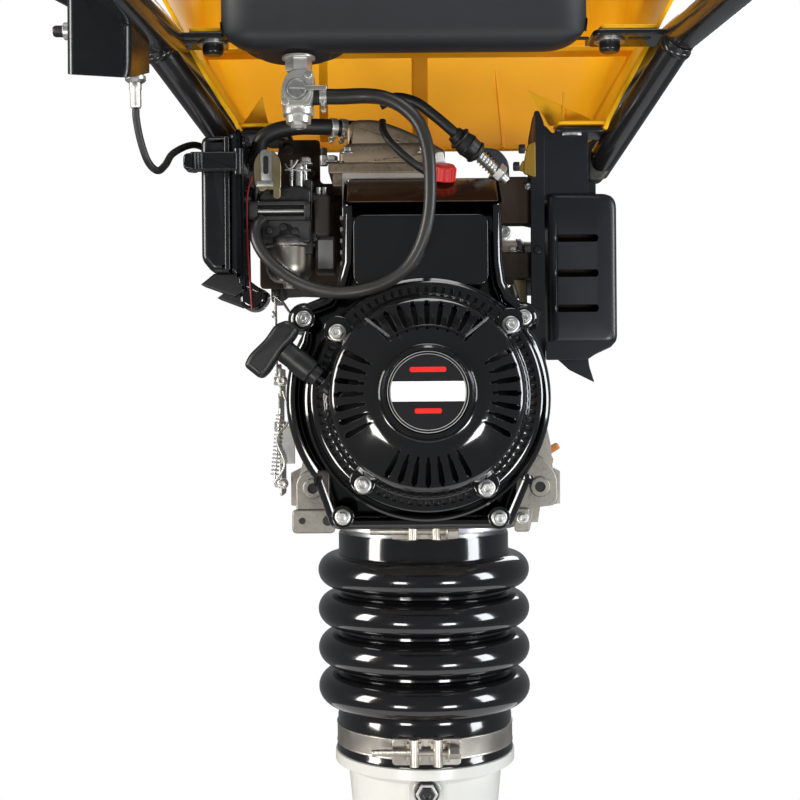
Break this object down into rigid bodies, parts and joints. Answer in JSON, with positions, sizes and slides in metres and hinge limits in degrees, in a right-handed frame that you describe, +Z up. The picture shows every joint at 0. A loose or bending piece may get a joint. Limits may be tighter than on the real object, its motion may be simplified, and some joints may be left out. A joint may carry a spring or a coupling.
{
  "type": "jumping jack rammer",
  "caption": "Upright vibratory rammer: engine behind a leaning ramming leg with a bellows and a flat shoe, handle loop, fuel tank and yellow cowl above.",
  "frame": {"origin": "centre of the shoe's flat sole, on the ground", "axes": "+Z up; +Y away from the operator, towards the toe of the shoe; +X to the operator's right"},
  "size_m": [0.4967, 0.6847, 1.0496],
  "materials": {
    "painted_silver": "satin",
    "shoe_steel": "satin",
    "laminate": "satin",
    "zinc_steel": "satin",
    "machined_steel": "satin",
    "bronze": "satin",
    "friction": "matt",
    "bellows_rubber": "gloss",
    "black_rubber": "matt",
    "cast_aluminium": "satin",
    "gloss_black_enamel": "gloss",
    "badge_film": "gloss",
    "black_plastic": "satin",
    "carburettor_zinc": "satin",
    "passivated_steel": "satin",
    "exhaust_steel": "matt",
    "blue_black_enamel": "satin",
    "orange_plastic": "satin",
    "tank_plastic": "satin",
    "tap_lever_metal": "satin",
    "yellow_plastic": "satin",
    "frame_enamel": "satin"
  },
  "bodies": {
    "machine": {"bellows": "bellows_rubber", "bellows_clamp_upper": "zinc_steel", "guide_cylinder": "machined_steel", "rod_bush": "bronze", "gear_case": "cast_aluminium", "gear_case_cover": "cast_aluminium", "bearings": "machined_steel", "engine_block": "cast_aluminium", "rocker_cover": "cast_aluminium", "fan_cover": "gloss_black_enamel", "recoil_cover": "gloss_black_enamel", "recoil_badge": "badge_film", "machine_bolts": "zinc_steel", "ht_lead": "black_rubber", "carburettor": "carburettor_zinc", "float_bowl": "cast_aluminium", "control_plate": "zinc_steel", "filter_case": "black_plastic", "filter_cover": "black_plastic", "breather_hose": "black_rubber", "muffler": "exhaust_steel", "muffler_guard": "blue_black_enamel", "fuel_tank": "tank_plastic", "fuel_tap": "cast_aluminium", "fuel_hose": "black_rubber", "cowl": "yellow_plastic", "handle_loop": "frame_enamel", "mount_frame": "frame_enamel", "rubber_mounts": "black_rubber", "lifting_eye": "frame_enamel", "throttle_box": "black_plastic", "throttle_cable": "black_rubber"},
    "foot": {"shoe_plate": "shoe_steel", "shoe_pad": "laminate", "foot_bracket": "shoe_steel", "foot_fasteners": "zinc_steel", "lower_leg": "painted_silver", "cylinder_cap": "machined_steel", "ram_springs": "machined_steel", "bellows_clamp_lower": "zinc_steel"},
    "ram": {"spring_piston": "machined_steel", "piston_rod": "machined_steel", "connecting_rod": "machined_steel"},
    "crank": {"crank_gear": "machined_steel"},
    "pinion": {"pinion_shaft": "machined_steel", "clutch_drum": "machined_steel"},
    "engine_shaft": {"crankshaft": "machined_steel", "flywheel_fan": "cast_aluminium", "clutch_shoes": "friction"},
    "pulley": {"starter_pulley": "black_plastic"},
    "grip": {"starter_grip": "black_plastic"},
    "choke": {"choke_lever": "passivated_steel"},
    "governor": {"governor_arm": "zinc_steel"},
    "latch": {"filter_latch": "black_plastic"},
    "dipstick": {"oil_dipstick": "orange_plastic"},
    "cap": {"fuel_cap": "black_plastic"},
    "tap": {"tap_lever": "tap_lever_metal"},
    "load_roller": {"roller": "black_plastic"},
    "throttle": {"throttle_lever": "black_plastic"},
    "stop": {"stop_button": "black_plastic"}
  },
  "joints": [
    {"name": "foot_slide", "type": "slide", "parent": "machine", "child": "foot", "axis": [0, -0.1392, -0.9903], "range_m": [0, 0.065], "deforming": ["bellows"]},
    {"name": "ram_slide", "type": "slide", "parent": "machine", "child": "ram", "axis": [0, -0.1392, -0.9903], "range_m": [0, 0.065]},
    {"name": "crank_spin", "type": "hinge", "parent": "machine", "child": "crank", "pos_m": [0, 0.0723, 0.67248], "axis": [0, 0.9903, -0.1392], "continuous": true},
    {"name": "pinion_spin", "type": "hinge", "parent": "machine", "child": "pinion", "pos_m": [0, 0.06172, 0.59722], "axis": [0, 0.9903, -0.1392], "continuous": true},
    {"name": "engine_shaft_spin", "type": "hinge", "parent": "machine", "child": "engine_shaft", "pos_m": [0, -0.02741, 0.60975], "axis": [0, 0.9903, -0.1392], "continuous": true},
    {"name": "starter_pull", "type": "slide", "parent": "machine", "child": "grip", "axis": [-0.7771, 0.0876, 0.6232], "range_m": [0, 0.5], "stiffness_N_per_m": 12, "springref_m": -0.15},
    {"name": "pulley_spin", "type": "hinge", "parent": "machine", "child": "pulley", "pos_m": [0, -0.13436, 0.62478], "axis": [0, 0.9903, -0.1392], "range_deg": [0, 989.9]},
    {"name": "choke_turn", "type": "hinge", "parent": "machine", "child": "choke", "pos_m": [-0.124, -0.064, 0.7805], "axis": [0, 0.9903, -0.1392], "range_deg": [0, 60]},
    {"name": "governor_turn", "type": "hinge", "parent": "machine", "child": "governor", "pos_m": [-0.12, -0.0228, 0.63536], "axis": [1, 0, 0], "range_deg": [-18, 0]},
    {"name": "latch_turn", "type": "hinge", "parent": "machine", "child": "latch", "pos_m": [-0.141, -0.07767, 0.79959], "axis": [0, 0.1392, 0.9903], "range_deg": [0, 80]},
    {"name": "dipstick_turn", "type": "hinge", "parent": "machine", "child": "dipstick", "pos_m": [0.104, -0.04018, 0.56913], "axis": [0.8575, 0.0716, 0.5095], "continuous": true},
    {"name": "cap_turn", "type": "hinge", "parent": "machine", "child": "cap", "pos_m": [0.025, 0.03164, 1.01548], "axis": [0, 0.1392, 0.9903], "continuous": true},
    {"name": "tap_turn", "type": "hinge", "parent": "machine", "child": "tap", "pos_m": [-0.096, -0.09046, 0.85087], "axis": [0, 0.9903, -0.1392], "range_deg": [0, 90]},
    {"name": "roller_spin", "type": "hinge", "parent": "machine", "child": "load_roller", "pos_m": [0, 0.34138, 0.87427], "axis": [1, 0, 0], "continuous": true},
    {"name": "throttle_turn", "type": "hinge", "parent": "machine", "child": "throttle", "pos_m": [-0.226, -0.09638, 0.90219], "axis": [0, 0.9903, -0.1392], "range_deg": [0, 60]},
    {"name": "stop_press", "type": "slide", "parent": "machine", "child": "stop", "axis": [1, 0, 0], "range_m": [0, 0.004], "stiffness_N_per_m": 300, "springref_m": -0.004}
  ],
  "couplings": [
    {"joint": "ram_slide", "follows": "foot_slide", "ratio": 1},
    {"joint": "pinion_spin", "follows": "crank_spin", "ratio": -5.3333},
    {"joint": "pulley_spin", "follows": "starter_pull", "rad_per_m": 34.483},
    {"joint": "governor_turn", "follows": "throttle_turn", "ratio": -0.3}
  ]
}
